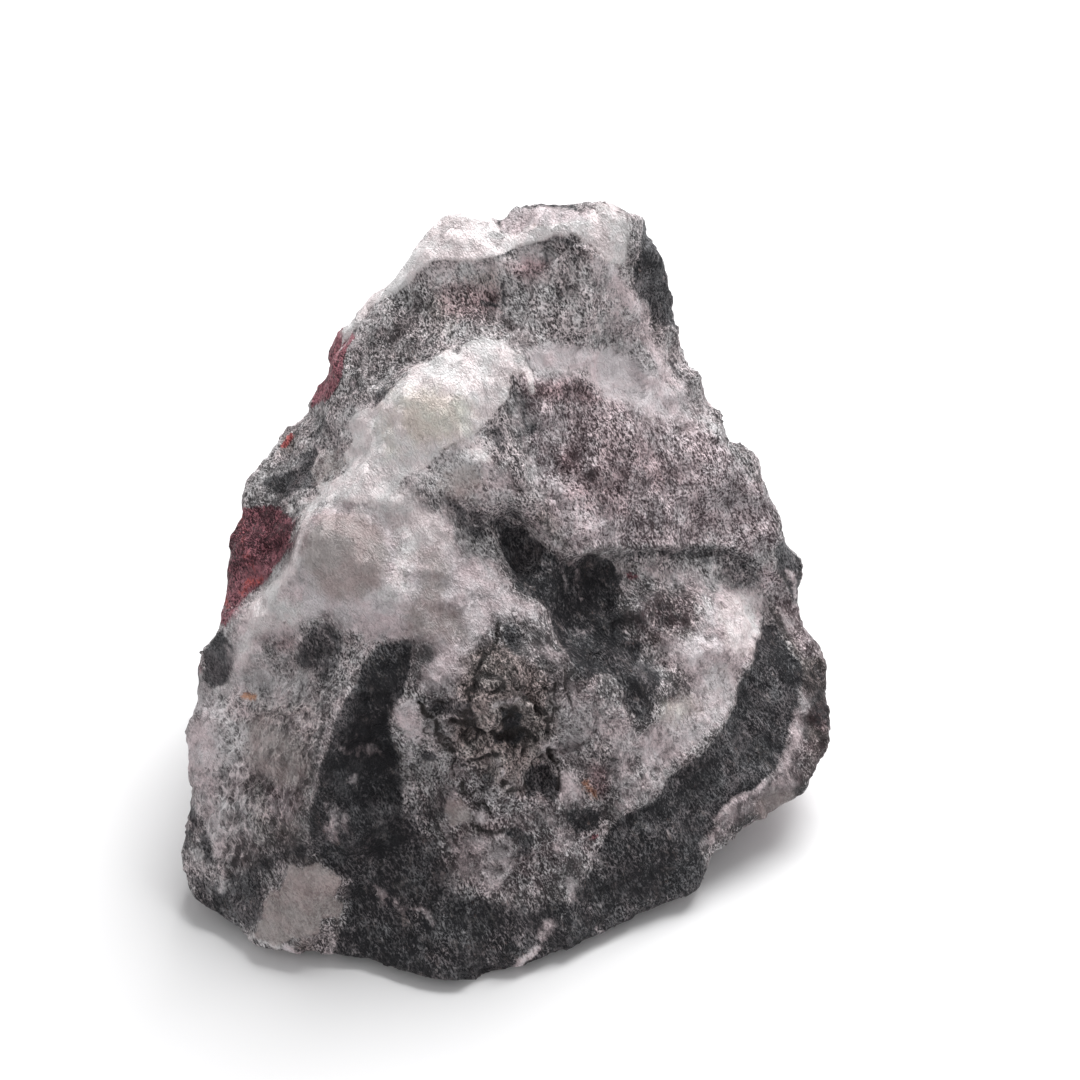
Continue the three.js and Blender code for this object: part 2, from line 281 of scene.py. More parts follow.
        (0.7, 0.5, [(590, 768), (608, 766), (614, 782), (606, 800), (592, 792)]),
        (0.7, 0.5, [(808, 706), (826, 698), (840, 702), (836, 726), (822, 736), (808, 724)]),
        (0.45, 0.6, [(268, 640), (300, 634), (302, 650), (276, 656)]),
        (0.4, 0.8, [(266, 790), (300, 786), (312, 800), (290, 826), (268, 822)]),
        (0.4, 0.6, [(226, 696), (250, 698), (252, 720), (232, 722)]),
        (0.5, 0.8, [(655, 655), (672, 656), (668, 668), (650, 664)]),
    ],
    "red": [
        (0.95, 0.25, [(310, 408), (312, 345), (342, 322), (356, 334), (350, 344), (346, 356), (342, 368),
                      (339, 382), (332, 395), (322, 402)]),
        (0.92, 0.4, [(220, 512), (240, 506), (256, 505), (272, 505), (284, 514), (296, 518), (295, 532),
                     (290, 548), (284, 558), (276, 566), (268, 580), (252, 592), (240, 606), (222, 600),
                     (224, 580), (216, 540)]),
        (0.7, 0.6, [(210, 594), (240, 588), (250, 602), (238, 618), (226, 630), (206, 620)]),
    ],
    "dark": [
        (0.95, 0.6, [(306, 838), (350, 840), (400, 808), (432, 850), (424, 884), (350, 884), (320, 858)]),
        (0.5, 0.6, [(804, 660), (836, 664), (845, 700), (836, 734), (812, 728), (804, 700)]),
        (0.42, 0.6, [(622, 588), (660, 584), (694, 594), (692, 630), (660, 636), (624, 640)]),
        # the hollow
        (1.0, 0.25, [(490, 520), (500, 518), (514, 523), (524, 529), (531, 536), (543, 543), (549, 552),
                     (556, 558), (562, 561), (570, 566), (577, 560), (584, 556), (600, 557), (610, 561),
                     (617, 573), (623, 582), (616, 592), (620, 604), (625, 620), (622, 632), (630, 640),
                     (641, 643), (641, 656), (634, 668), (622, 679), (600, 676), (580, 675), (573, 668),
                     (567, 655), (564, 642), (556, 636), (553, 622), (550, 608), (541, 600), (530, 595),
                     (517, 585), (511, 570), (503, 558), (500, 545), (497, 530)]),
        (0.6, 0.5, [(496, 508), (512, 506), (526, 516), (530, 530), (512, 524), (496, 520)]),
        (0.62, 0.6, [(440, 500), (452, 494), (474, 500), (490, 514), (496, 534), (480, 546), (462, 536),
                     (452, 516)]),
        (0.66, 0.4, [(486, 428), (500, 420), (510, 432), (508, 452), (496, 448)]),
        (0.5, 0.6, [(508, 378), (524, 376), (534, 400), (528, 440), (520, 460), (512, 430)]),
        (0.7, 0.4, [(522, 424), (536, 424), (536, 440), (524, 438)]),
        # right of the nose
        (1.0, 0.35, [(378, 640), (396, 637), (414, 641), (412, 660), (404, 690), (394, 704), (389, 724),
                     (390, 742), (400, 762), (403, 790), (400, 812), (380, 830), (340, 846), (306, 840),
                     (312, 806), (318, 768), (330, 748), (334, 722), (346, 700), (356, 682), (364, 662)]),
        (0.72, 1.0, [(300, 838), (345, 840), (385, 826), (410, 806), (440, 840), (456, 890), (520, 905),
                     (566, 900), (600, 850), (640, 838), (700, 846), (720, 880), (690, 915), (600, 960),
                     (520, 1000), (400, 1010), (320, 975), (340, 925), (345, 880), (322, 858), (290, 860),
                     (264, 880), (240, 935), (190, 905), (186, 862), (226, 886), (262, 856)]),
        (0.95, 0.5, [(350, 870), (400, 860), (410, 900), (420, 950), (380, 985), (330, 965), (344, 915)]),
        (0.8, 0.4, [(196, 834), (206, 832), (218, 862), (206, 866), (196, 850)]),
        (0.8, 0.6, [(228, 876), (250, 868), (266, 886), (258, 920), (244, 930), (230, 910)]),
        # the band on the right
        (1.0, 0.25, [(764, 626), (776, 624), (784, 640), (792, 656), (800, 664), (799, 690), (797, 715),
                     (789, 728), (783, 745), (779, 762), (770, 776), (757, 789), (740, 798), (725, 807),
                     (717, 817), (712, 828), (698, 842), (703, 872), (690, 890), (640, 905), (612, 880),
                     (600, 852), (612, 826), (640, 809), (655, 800), (662, 781), (676, 769), (692, 760),
                     (706, 750), (716, 737), (726, 727), (736, 703), (739, 690), (743, 676), (752, 668),
                     (752, 655), (758, 642)]),
        # the lump at the top right
        (0.74, 0.25, [(641, 220), (646, 216), (654, 228), (660, 244), (674, 262), (680, 300), (682, 330),
                      (662, 326), (650, 318), (645, 306), (638, 302), (633, 290), (636, 262), (638, 240)]),
        # the ledge under the right facet
        (0.58, 0.6, [(600, 556), (640, 546), (690, 543), (735, 546), (764, 554), (760, 590), (746, 594),
                     (724, 584), (716, 570), (700, 574), (698, 564), (656, 556), (640, 562), (624, 566)]),
        (0.95, 0.25, [(776, 545), (788, 540), (806, 564), (806, 590), (800, 606), (788, 590), (778, 568)]),
        (0.82, 0.4, [(204, 640), (222, 630), (234, 648), (237, 664), (226, 680), (212, 690), (202, 682)]),
        (0.66, 0.5, [(303, 642), (312, 620), (330, 620), (346, 634), (346, 652), (336, 680), (322, 684),
                     (312, 672), (298, 674), (290, 664)]),
        # the upper facet
        (0.15, 0.7, [(400, 292), (420, 280), (432, 264), (497, 258), (558, 236), (600, 262), (622, 310),
                     (640, 345), (590, 345), (545, 340), (505, 340), (470, 336), (440, 348), (400, 376),
                     (378, 400), (345, 408), (345, 380), (356, 338)]),
        (0.45, 0.5, [(345, 404), (380, 398), (352, 410), (345, 440), (318, 452), (300, 490), (262, 495),
                     (275, 465), (306, 440), (312, 410)]),
        (0.85, 0.4, [(300, 450), (313, 447), (318, 456), (311, 471), (320, 479), (318, 487), (298, 488),
                     (290, 498), (278, 494), (266, 488), (268, 478), (296, 470)]),
        (0.8, 0.3, [(372, 398), (380, 386), (392, 390), (382, 402), (374, 408)]),
        # pits of the apron
        (1.0, 0.25, [(524, 776), (534, 766), (546, 763), (556, 776), (560, 792), (552, 802), (538, 794),
                     (524, 798)]),
        (0.95, 0.4, [(566, 812), (580, 806), (602, 810), (600, 830), (574, 832)]),
        (0.75, 0.4, [(502, 832), (518, 826), (532, 838), (530, 856), (518, 858), (514, 846)]),
        (1.0, 0.25, [(418, 751), (434, 753), (437, 761), (424, 760)]),
        (1.0, 0.25, [(500, 712), (516, 706), (522, 714), (518, 730), (530, 738), (514, 744), (496, 746),
                     (494, 734), (504, 728)]),
        (0.7, 0.5, [(506, 622), (520, 622), (526, 644), (522, 662), (510, 652), (504, 640)]),
        (0.75, 0.6, [(626, 662), (650, 656), (664, 680), (656, 708), (640, 722), (624, 704), (618, 680)]),
        (0.62, 0.6, [(412, 698), (450, 694), (474, 706), (478, 732), (456, 722), (430, 718)]),
        (0.5, 0.8, [(470, 762), (500, 764), (498, 800), (474, 798)]),
        (0.5, 0.8, [(586, 744), (610, 752), (612, 766), (590, 764)]),
        (0.5, 1.0, [(404, 780), (440, 800), (450, 880), (400, 870)]),
    ],
    "brown": [
        (0.6, 1.0, [(420, 300), (470, 275), (500, 270), (500, 310), (440, 330)]),
        (0.8, 0.8, [(472, 650), (490, 642), (516, 650), (524, 680), (520, 702), (490, 708), (468, 698)]),
        (0.75, 1.0, [(455, 655), (500, 640), (545, 670), (560, 730), (540, 770), (490, 790), (450, 750)]),
        (0.85, 0.5, [(500, 750), (526, 746), (524, 796), (502, 800)]),
        (0.7, 1.0, [(638, 592), (696, 592), (696, 640), (650, 650)]),
        (0.8, 0.8, [(775, 606), (800, 612), (838, 672), (845, 720), (830, 765), (800, 785), (810, 700)]),
        (0.6, 1.2, [(250, 700), (320, 700), (318, 780), (300, 840), (250, 850), (245, 780)]),
        (0.6, 1.0, [(530, 520), (556, 500), (600, 520), (600, 548), (570, 550)]),
        (0.6, 1.0, [(445, 797), (514, 835), (516, 880), (462, 884)]),
        (0.6, 0.6, [(276, 436), (296, 434), (300, 448), (280, 456)]),
        (0.6, 1.0, [(400, 936), (450, 930), (460, 980), (410, 984)]),
        (0.6, 0.8, [(284, 940), (312, 940), (314, 956), (290, 956)]),
    ],
    "crumbly": [
        (1.0, 0.8, [(460, 680), (484, 632), (532, 640), (566, 690), (568, 750), (560, 800), (478, 800),
                    (434, 765), (412, 720)]),
        (0.6, 1.5, [(410, 700), (455, 660), (560, 650), (610, 700), (640, 790), (600, 870), (470, 890),
                    (415, 790)]),
    ],
    "smooth": [
        # the left face, and the ground round the vein
        (0.9, 1.5, [(180, 700), (206, 650), (240, 640), (300, 640), (345, 690), (325, 790), (306, 850),
                    (230, 870), (196, 850), (180, 780)]),
        (0.9, 1.5, [(300, 520), (330, 490), (420, 480), (450, 500), (480, 560), (530, 600), (500, 630),
                    (470, 650), (444, 700), (404, 690), (400, 630), (340, 630), (240, 640), (230, 620)]),
        (0.7, 1.0, [(360, 680), (400, 660), (392, 760), (400, 810), (350, 840), (320, 810)]),
        # the flange
        (0.8, 0.8, [(700, 840), (740, 796), (780, 770), (800, 670), (840, 670), (845, 740), (790, 816),
                    (730, 830)]),
    ],
    # Each outline darkens its place: painted shade where the stone lies in shade, mixed in places with the rock's
    # own darker tone
    "painted_shade_and_dark_tone": [
        (0.4, 0.6, [(700, 850), (720, 804), (780, 770), (800, 660), (830, 660), (842, 720), (820, 780),
                    (750, 830)]),
        (0.35, 1.0, [(600, 290), (640, 300), (664, 340), (650, 360), (610, 340)]),
        (0.6, 1.2, [(440, 600), (476, 574), (520, 580), (560, 620), (620, 672), (630, 700), (590, 700),
                    (550, 660), (524, 616), (480, 640), (446, 640)]),
        (0.6, 0.8, [(530, 846), (590, 846), (600, 870), (580, 890), (530, 884)]),
        (0.6, 1.0, [(440, 560), (474, 562), (520, 586), (560, 626), (604, 668), (598, 690), (556, 672),
                    (528, 622), (480, 594), (444, 590)]),
        (0.5, 0.8, [(500, 848), (560, 840), (594, 856), (580, 890), (520, 890)]),
        (0.6, 0.8, [(770, 600), (800, 612), (836, 670), (840, 720), (826, 760), (796, 776), (800, 700)]),
        (0.5, 0.8, [(716, 600), (744, 596), (760, 620), (752, 656), (730, 664), (714, 640)]),
        (0.5, 0.8, [(376, 530), (404, 528), (420, 560), (404, 590), (380, 580)]),
        (0.6, 1.0, [(440, 600), (500, 566), (540, 600), (530, 620), (480, 630), (440, 690), (400, 700), (404, 660)]),
        (0.5, 0.6, [(740, 610), (764, 630), (756, 664), (736, 670), (730, 640)]),
        # painted shade at the wedge's foot
        (0.6, 1.2, [(300, 800), (340, 840), (410, 820), (430, 880), (430, 960), (350, 960), (320, 900)]),
        (0.5, 0.8, [(232, 838), (270, 830), (290, 856), (256, 872), (234, 864)]),
        # the red patch's heart
        (0.8, 0.5, [(248, 516), (284, 514), (292, 540), (270, 566), (246, 560)]),
        (0.5, 0.8, [(220, 500), (296, 500), (290, 560), (240, 620), (214, 610)]),
        (0.7, 0.6, [(408, 648), (432, 640), (452, 650), (440, 690), (414, 690)]),
        (0.6, 0.6, [(466, 572), (506, 570), (530, 596), (520, 612), (480, 606)]),
        (0.6, 0.6, [(552, 640), (572, 668), (606, 684), (600, 700), (560, 690)]),
        (0.7, 0.8, [(500, 848), (560, 844), (590, 860), (580, 890), (520, 884)]),
        # painted shade at the flange's foot
        (0.9, 0.6, [(700, 850), (716, 806), (760, 792), (800, 770), (820, 780), (790, 816), (740, 830)]),
        # painted shade in the hollow
        (0.8, 0.5, [(496, 524), (524, 530), (549, 552), (577, 562), (606, 562), (620, 590), (622, 632),
                    (641, 650), (634, 668), (600, 680), (572, 668), (556, 636), (540, 598), (512, 570)]),
        # the left face: painted shade and its own darker tone
        (0.4, 2.0, [(270, 700), (340, 690), (330, 760), (318, 880), (250, 880), (240, 800)]),
        # the apron: painted shade and its own darker tone
        (0.45, 2.0, [(410, 780), (640, 800), (700, 840), (690, 900), (560, 970), (430, 990), (300, 960),
                     (320, 880), (400, 860)]),
        # painted shade in the hearts of the dark places
        (0.8, 0.6, [(584, 562), (608, 564), (620, 582), (604, 590), (600, 572)]),
        (0.8, 0.6, [(560, 620), (600, 640), (640, 646), (634, 668), (610, 676), (576, 668)]),
        (0.5, 1.0, [(556, 590), (620, 580), (624, 640), (570, 640)]),
        (0.6, 1.0, [(305, 800), (345, 830), (350, 880), (300, 860)]),
        (0.7, 1.0, [(372, 655), (408, 650), (396, 700), (386, 740), (402, 760), (396, 800), (360, 800),
                    (340, 760), (340, 720)]),
        (0.5, 1.0, [(350, 870), (400, 865), (415, 950), (380, 980), (335, 960)]),
        (0.6, 0.6, [(766, 630), (778, 632), (798, 664), (794, 700), (784, 690)]),
        (0.5, 1.0, [(660, 785), (720, 760), (700, 790), (650, 840), (600, 870), (600, 850)]),
        (0.6, 0.4, [(632, 250), (660, 250), (668, 270), (640, 282)]),
        (0.6, 0.4, [(630, 286), (646, 290), (672, 312), (670, 324), (650, 312), (634, 302)]),
        # painted shade under the vein
        (0.5, 1.2, [(470, 590), (540, 610), (570, 680), (540, 700), (470, 700), (450, 650)]),
        (0.4, 1.0, [(410, 600), (440, 590), (450, 630), (420, 640)]),
        (0.5, 1.5, [(570, 660), (640, 670), (680, 650), (700, 700), (640, 730), (600, 720)]),
        (0.45, 1.5, [(590, 740), (640, 760), (650, 800), (620, 820), (585, 790)]),
        (0.7, 0.8, [(620, 586), (696, 590), (694, 632), (660, 636), (622, 640)]),
        (0.5, 0.8, [(800, 655), (828, 660), (842, 700), (836, 730), (812, 720), (800, 690)]),
        (0.4, 1.5, [(340, 340), (380, 300), (480, 300), (500, 330), (440, 350), (400, 376), (360, 400)]),
        (0.3, 1.0, [(224, 520), (290, 512), (290, 550), (264, 584), (236, 596)]),
        (0.4, 1.0, [(366, 540), (386, 540), (384, 580), (360, 600), (366, 570)]),
        (0.7, 0.5, [(500, 705), (536, 700), (536, 740), (494, 746)]),
        (0.5, 0.8, [(262, 888), (284, 888), (290, 912), (268, 930), (258, 924)]),
        (0.5, 0.6, [(306, 884), (336, 884), (330, 906), (306, 908)]),
    ],
    # Each outline lightens its place: painted light on lit grounds and edges, mixed in places with the rock's own
    # paler tone
    "painted_light_and_pale_tone": [
        (0.7, 0.8, [(340, 344), (350, 312), (372, 296), (392, 300), (372, 330), (352, 350)]),
        (0.8, 1.0, [(226, 596), (262, 560), (300, 556), (306, 590), (260, 606), (232, 620)]),
        (0.5, 1.0, [(200, 650), (250, 640), (256, 700), (214, 712)]),
        (0.5, 1.0, [(200, 780), (256, 770), (260, 800), (210, 806)]),
        (0.8, 1.2, [(390, 400), (470, 390), (490, 450), (470, 490), (410, 490), (384, 450)]),
        (0.7, 1.0, [(226, 616), (270, 610), (300, 640), (290, 664), (240, 664), (224, 644)]),
        (0.6, 1.2, [(400, 400), (440, 390), (480, 430), (480, 470), (430, 480), (400, 460)]),
        (0.7, 1.0, [(548, 480), (590, 490), (616, 540), (590, 556), (562, 540)]),
        (0.8, 0.8, [(596, 352), (640, 362), (668, 388), (660, 400), (620, 392), (596, 376)]),
        (0.7, 1.0, [(410, 280), (440, 236), (490, 220), (500, 246), (470, 262), (430, 268)]),
        (0.5, 0.8, [(308, 560), (350, 560), (364, 590), (330, 602), (306, 590)]),
        (0.6, 0.6, [(700, 566), (740, 560), (750, 584), (716, 592)]),
        # painted light on the band across the top of the right facet, and on the facet's lower left
        (1.3, 0.7, [(524, 350), (545, 346), (578, 350), (606, 354), (634, 362), (655, 376), (676, 396),
                    (660, 402), (630, 392), (600, 384), (560, 382), (528, 380)]),
        (0.5, 1.2, [(548, 480), (590, 490), (610, 530), (590, 552), (562, 540)]),
        # painted light on the top left shoulder, and on the vein
        (0.8, 1.0, [(400, 290), (430, 258), (490, 250), (470, 205), (430, 215), (380, 262)]),
        (0.7, 1.5, [(390, 400), (430, 380), (470, 390), (486, 440), (470, 470), (420, 480), (380, 470)]),
        (0.5, 1.2, [(226, 616), (270, 606), (266, 650), (236, 680), (214, 660)]),
        (0.5, 1.2, [(310, 540), (350, 530), (366, 570), (340, 596), (306, 590)]),
        (0.6, 1.2, [(196, 700), (250, 690), (246, 780), (214, 800), (190, 770)]),
        (0.4, 1.5, [(190, 680), (225, 640), (240, 700), (230, 860), (200, 860)]),
        (0.5, 1.2, [(240, 604), (300, 590), (330, 606), (300, 630), (262, 640), (250, 670)]),
        (0.5, 2.0, [(300, 510), (350, 480), (430, 480), (460, 530), (440, 590), (380, 620), (310, 610)]),
        (0.5, 1.5, [(340, 410), (400, 400), (420, 480), (380, 490), (330, 480)]),
        (0.5, 1.0, [(492, 514), (530, 526), (556, 560), (530, 580), (506, 560)]),
        (0.4, 1.0, [(738, 560), (780, 566), (784, 600), (750, 590)]),
        (0.5, 1.0, [(450, 345), (500, 342), (520, 366), (500, 400), (490, 372), (450, 366)]),
        (0.8, 0.3, [(474, 392), (482, 392), (486, 416), (478, 420)]),
        (0.9, 0.4, [(356, 416), (372, 412), (372, 440), (358, 440)]),
        (0.9, 0.6, [(430, 264), (495, 260), (540, 246), (556, 256), (500, 280), (430, 284)]),
        (0.6, 0.6, [(470, 276), (500, 272), (506, 290), (484, 300)]),
        (0.5, 1.0, [(240, 640), (300, 680), (330, 700), (300, 720), (240, 700)]),
        (0.5, 0.6, [(444, 644), (464, 644), (464, 670), (446, 676)]),
        (0.4, 1.6, [(590, 250), (625, 265), (650, 330), (690, 400), (640, 400), (600, 345)]),
        (0.8, 0.6, [(722, 590), (756, 590), (760, 640), (738, 656), (724, 640)]),
        (0.5, 0.4, [(288, 870), (302, 872), (308, 888), (288, 886)]),
        (0.6, 0.4, [(284, 906), (298, 906), (296, 922), (286, 922)]),
        (0.4, 0.6, [(500, 600), (540, 602), (546, 628), (520, 620), (502, 622)]),
    ],
    "sunk": [
        (0.6, 1.4, [(500, 524), (530, 536), (560, 566), (560, 600), (540, 596), (512, 560)]),
        (1.0, 1.4, [(550, 570), (605, 562), (622, 592), (640, 650), (600, 672), (566, 640)]),
        (0.7, 1.4, [(376, 648), (410, 646), (396, 713), (398, 752), (404, 800), (340, 830), (318, 800),
                    (336, 730)]),
        (0.4, 1.0, [(600, 560), (690, 548), (766, 562), (755, 592), (690, 596), (620, 584)]),
        (0.5, 0.8, [(500, 706), (520, 704), (530, 740), (498, 746)]),
        (0.5, 0.8, [(526, 776), (546, 764), (558, 792), (536, 796)]),
    ],
    "streak": [
        (0.5, 1.5, [(400, 300), (500, 262), (590, 250), (640, 345), (545, 335), (505, 336), (430, 350)]),
        (0.5, 1.5, [(720, 590), (760, 600), (750, 660), (700, 740), (650, 780), (620, 800), (620, 700)]),
        (1.0, 1.5, [(215, 690), (290, 680), (340, 690), (325, 740), (310, 800), (262, 850), (225, 890),
                    (196, 850), (190, 780), (195, 720)]),
        (0.6, 1.5, [(640, 320), (670, 330), (730, 440), (770, 520), (720, 500), (670, 410)]),
    ],
    "ridge": [
        # edges that stand out further than the solid's
        (0.7, 0.6, [(640, 212), (700, 230), (696, 290), (676, 310), (660, 290), (650, 262)]),
        (0.8, 0.6, [(300, 412), (300, 350), (330, 318), (352, 330), (340, 380), (320, 412)]),
        (0.8, 0.6, [(690, 372), (712, 366), (760, 430), (780, 480), (752, 470), (716, 420)]),
        (0.6, 0.6, [(166, 720), (192, 716), (200, 760), (200, 800), (170, 800)]),
        # lumps
        (0.7, 0.35, [(288, 865), (296, 870), (312, 866), (320, 861), (334, 871), (341, 880), (334, 898),
                     (341, 904), (339, 917), (324, 918), (317, 934), (308, 939), (292, 938), (280, 949),
                     (252, 937), (258, 924), (264, 902), (270, 889), (280, 887)]),
        (0.9, 1.4, [(472, 656), (490, 648), (514, 654), (524, 680), (518, 700), (490, 704), (470, 694)]),
        (0.6, 0.8, [(457, 838), (476, 832), (504, 834), (517, 852), (514, 878), (494, 890), (466, 884)]),
        (0.5, 1.4, [(396, 396), (440, 360), (500, 346), (506, 392), (470, 434), (420, 462), (384, 462)]),
        (0.3, 1.2, [(306, 534), (326, 512), (358, 508), (380, 524), (388, 556), (370, 596), (326, 600)]),
        (0.4, 0.8, [(448, 802), (462, 798), (472, 810), (470, 824), (452, 828)]),
    ],
}

# Each stroke is (strength, softness in mm, half width in pixels, points in pixels).
STROKES = {
    "quartz": [
        (0.9, 0.2, 3.0, [(519, 356), (524, 366), (530, 376), (534, 392)]),
        (0.7, 0.3, 3.0, [(314, 470), (315, 460), (322, 451)]),
        (0.95, 0.2, 3.0, [(250, 934), (262, 941), (279, 948)]),
        (0.8, 0.3, 4.0, [(285, 502), (292, 510)]),
    ],
    "pale": [
        (0.90, 0.8, 7, [(604, 258), (616, 276), (628, 296), (639, 316), (649, 338), (662, 366), (684, 402)]),
        (0.60, 1.6, 12, [(596, 262), (612, 290), (630, 340), (640, 372)]),
        (0.8, 0.3, 4, [(716, 820), (724, 808), (742, 799), (760, 790), (772, 778)]),
        (0.9, 0.2, 3, [(284, 948), (302, 956)]),
        (0.9, 0.2, 3, [(326, 953), (341, 956)]),
        (0.98, 0.2, 3.5, [(508, 978), (516, 967), (527, 957), (540, 946)]),
        (0.8, 0.2, 2.5, [(414, 979), (440, 983)]),
        (0.6, 0.2, 2.5, [(386, 976), (400, 980)]),
        (0.8, 0.3, 2.5, [(377, 637), (367, 648), (360, 656)]),
        (0.45, 0.6, 4, [(350, 672), (338, 702), (328, 732), (316, 762), (311, 796)]),
        (0.9, 0.25, 2.5, [(790, 570), (797, 596)]),
        (0.66, 0.3, 3, [(527, 513), (544, 531), (556, 547)]),
        (0.6, 0.3, 2.2, [(556, 556), (564, 572), (568, 590)]),
        (0.6, 0.3, 2.2, [(570, 552), (578, 576), (582, 600)]),
        (0.55, 0.3, 2.5, [(516, 402), (522, 430), (536, 466), (541, 510)]),
        (0.66, 0.3, 3, [(493, 708), (508, 703), (523, 694)]),
        (0.66, 0.3, 3, [(452, 770), (456, 790), (447, 826), (453, 850)]),
        (0.5, 0.3, 2.5, [(540, 560), (552, 566)]),
        (0.5, 0.4, 4, [(576, 628), (588, 630)]),
        (0.5, 0.4, 3, [(366, 882), (386, 896), (402, 908), (424, 914), (434, 924)]),
        (0.8, 0.3, 2.5, [(418, 912), (426, 916)]),
        (0.9, 0.2, 2.5, [(596, 926), (602, 930)]),
        (0.6, 0.3, 3, [(212, 838), (224, 864), (222, 892)]),
        (0.7, 0.3, 2.5, [(498, 758), (502, 774)]),
        (0.7, 0.3, 2.0, [(240, 700), (240, 740), (238, 790), (242, 830)]),
        (0.6, 0.3, 2.0, [(252, 730), (250, 770), (254, 812)]),
        (0.7, 0.3, 2.5, [(220, 700), (224, 740), (216, 790)]),
        (0.8, 0.3, 2.5, [(354, 386), (360, 396)]),
        (0.7, 0.4, 3.5, [(627, 720), (638, 736), (646, 752)]),
    ],
    "dark": [
        (0.95, 0.2, 2.6, [(497, 226), (508, 212), (519, 203), (529, 208), (545, 207), (560, 206), (580, 211)]),
        (0.5, 0.3, 2.0, [(580, 211), (594, 209)]),
        (0.62, 0.2, 1.6, [(514, 238), (522, 228), (535, 223), (571, 219)]),
        (0.8, 0.2, 2.0, [(498, 257), (526, 246), (559, 234), (566, 241), (584, 248)]),
        (0.9, 0.25, 2.5, [(504, 284), (504, 300), (505, 320)]),
        (0.85, 0.3, 3.5, [(482, 302), (498, 308)]),
        (0.7, 0.3, 2.5, [(546, 240), (545, 262)]),
        (0.7, 0.3, 3.0, [(556, 284), (558, 296)]),
        (0.8, 0.2, 1.8, [(388, 492), (398, 476), (404, 458)]),
        (0.75, 0.2, 2.5, [(519, 342), (530, 366), (534, 378)]),
        (0.9, 0.3, 3, [(190, 790), (192, 825), (186, 850)]),
        (0.6, 0.3, 2.0, [(404, 476), (418, 488), (434, 496), (446, 506)]),
        (0.5, 0.3, 2.0, [(241, 704), (242, 730)]),
        (0.5, 0.3, 2.0, [(228, 740), (222, 780)]),
        (0.5, 0.3, 2.0, [(246, 740), (246, 780), (248, 820)]),
        (0.8, 0.3, 2.5, [(628, 725), (640, 724)]),
        (0.8, 0.3, 2.5, [(203, 732), (206, 734)]),
        (0.6, 0.3, 3.0, [(780, 794), (784, 798)]),
        (0.6, 0.4, 5.0, [(672, 362), (690, 392)]),
    ],
    "crack": [
        (1.0, 0.2, 2.4, [(502, 622), (498, 640), (484, 656), (474, 674)]),
        (1.0, 0.2, 2.8, [(490, 681), (476, 684), (466, 692), (467, 702)]),
        (1.0, 0.2, 2.6, [(498, 680), (504, 690)]),
        (1.0, 0.2, 2.6, [(524, 694), (536, 704), (548, 716), (554, 734)]),
        (1.0, 0.2, 3.0, [(493, 735), (501, 744), (516, 740), (530, 736), (536, 744)]),
        (1.0, 0.2, 3.0, [(446, 722), (462, 722), (475, 733), (483, 737)]),
        (1.0, 0.2, 2.6, [(471, 760), (483, 761), (498, 756)]),
        (1.0, 0.2, 2.6, [(419, 706), (428, 718), (437, 731)]),
        (0.9, 0.2, 2.2, [(450, 762), (454, 776)]),
        (1.0, 0.2, 3.0, [(463, 782), (466, 790)]),
        (0.8, 0.2, 2.2, [(474, 800), (488, 802), (494, 814)]),
        (0.8, 0.2, 2.2, [(560, 668), (566, 690), (574, 706)]),
        (0.8, 0.2, 2.0, [(474, 826), (490, 832), (504, 830)]),
    ],
    "red": [
        (0.9, 0.25, 4, [(457, 206), (463, 213)]),
        (0.6, 0.5, 4, [(306, 536), (314, 522), (330, 510), (348, 498)]),
        (0.7, 0.3, 3.5, [(626, 576), (638, 578)]),
        (0.6, 0.3, 3, [(196, 662), (199, 672)]),
        (0.7, 0.3, 3.5, [(590, 838), (600, 836)]),
    ],
    "scarlet": [
        (0.5, 0.5, 4, [(241, 514), (243, 530), (241, 548), (246, 560), (252, 572)]),
        (0.7, 0.4, 4, [(246, 590), (250, 582), (260, 580)]),
        (1.0, 0.25, 3, [(283, 444), (292, 436)]),
        (0.62, 0.3, 3, [(224, 598), (230, 608)]),
    ],
    "ochre": [
        (0.95, 0.3, 3.5, [(243, 694), (252, 696)]),
        (0.7, 0.4, 5, [(586, 784), (594, 794)]),
    ],
    "ridge": [
        (0.8, 0.5, 2, [(377, 637), (356, 662), (342, 702), (330, 745), (312, 800)]),
        (0.7, 0.6, 2, [(527, 372), (534, 410), (541, 510), (556, 548)]),
        (0.8, 0.5, 2, [(575, 552), (650, 544), (740, 548), (772, 562)]),
        (0.8, 0.5, 2, [(764, 616), (742, 682), (714, 735), (662, 778), (612, 822)]),
        (0.7, 0.4, 2, [(498, 256), (558, 235), (600, 262)]),
        (0.6, 0.5, 2, [(360, 330), (400, 290), (432, 262), (498, 256)]),
    ],
}

